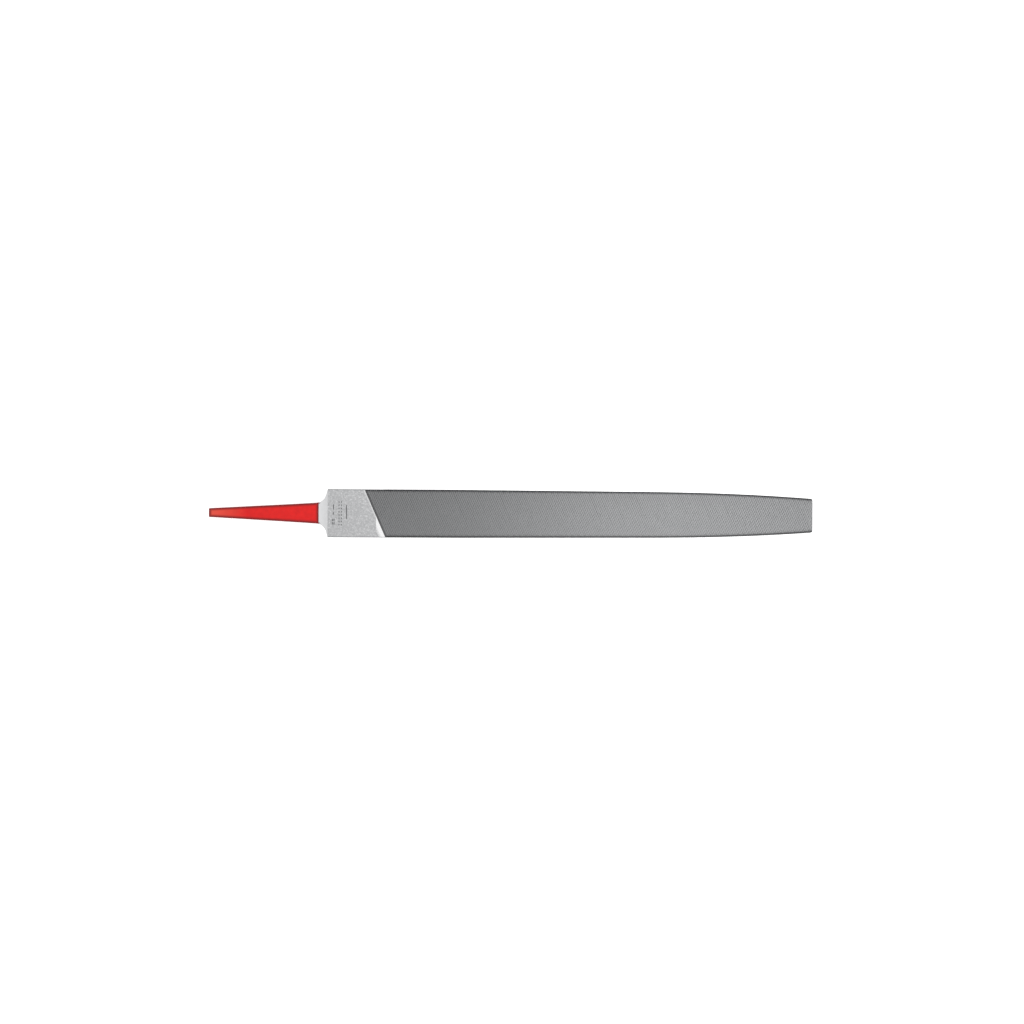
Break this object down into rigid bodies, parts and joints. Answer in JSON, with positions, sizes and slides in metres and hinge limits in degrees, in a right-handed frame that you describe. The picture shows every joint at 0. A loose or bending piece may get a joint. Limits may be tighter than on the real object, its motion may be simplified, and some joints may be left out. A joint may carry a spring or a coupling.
{
  "type": "flat file",
  "caption": "Flat metalworking file with cut faces and edges, a plain stamped heel, square shoulders and a tapered tang with a red coating.",
  "frame": {"origin": "on the file's axis and at mid-thickness, in the plane of the shoulders where the tang starts", "axes": "+X from the tang to the point, +Y across the width, +Z out of the upper (stamped) face"},
  "size_m": [0.3163, 0.0252, 0.0062],
  "materials": {
    "blank_steel": "bare hardened file steel: fine-ground heel, cut and blasted grey teeth",
    "tang_enamel": "dipped red enamel, semi-gloss"
  },
  "bodies": {
    "root": {"file_blank": "blank_steel", "tang_coating": "tang_enamel"}
  },
  "joints": []
}
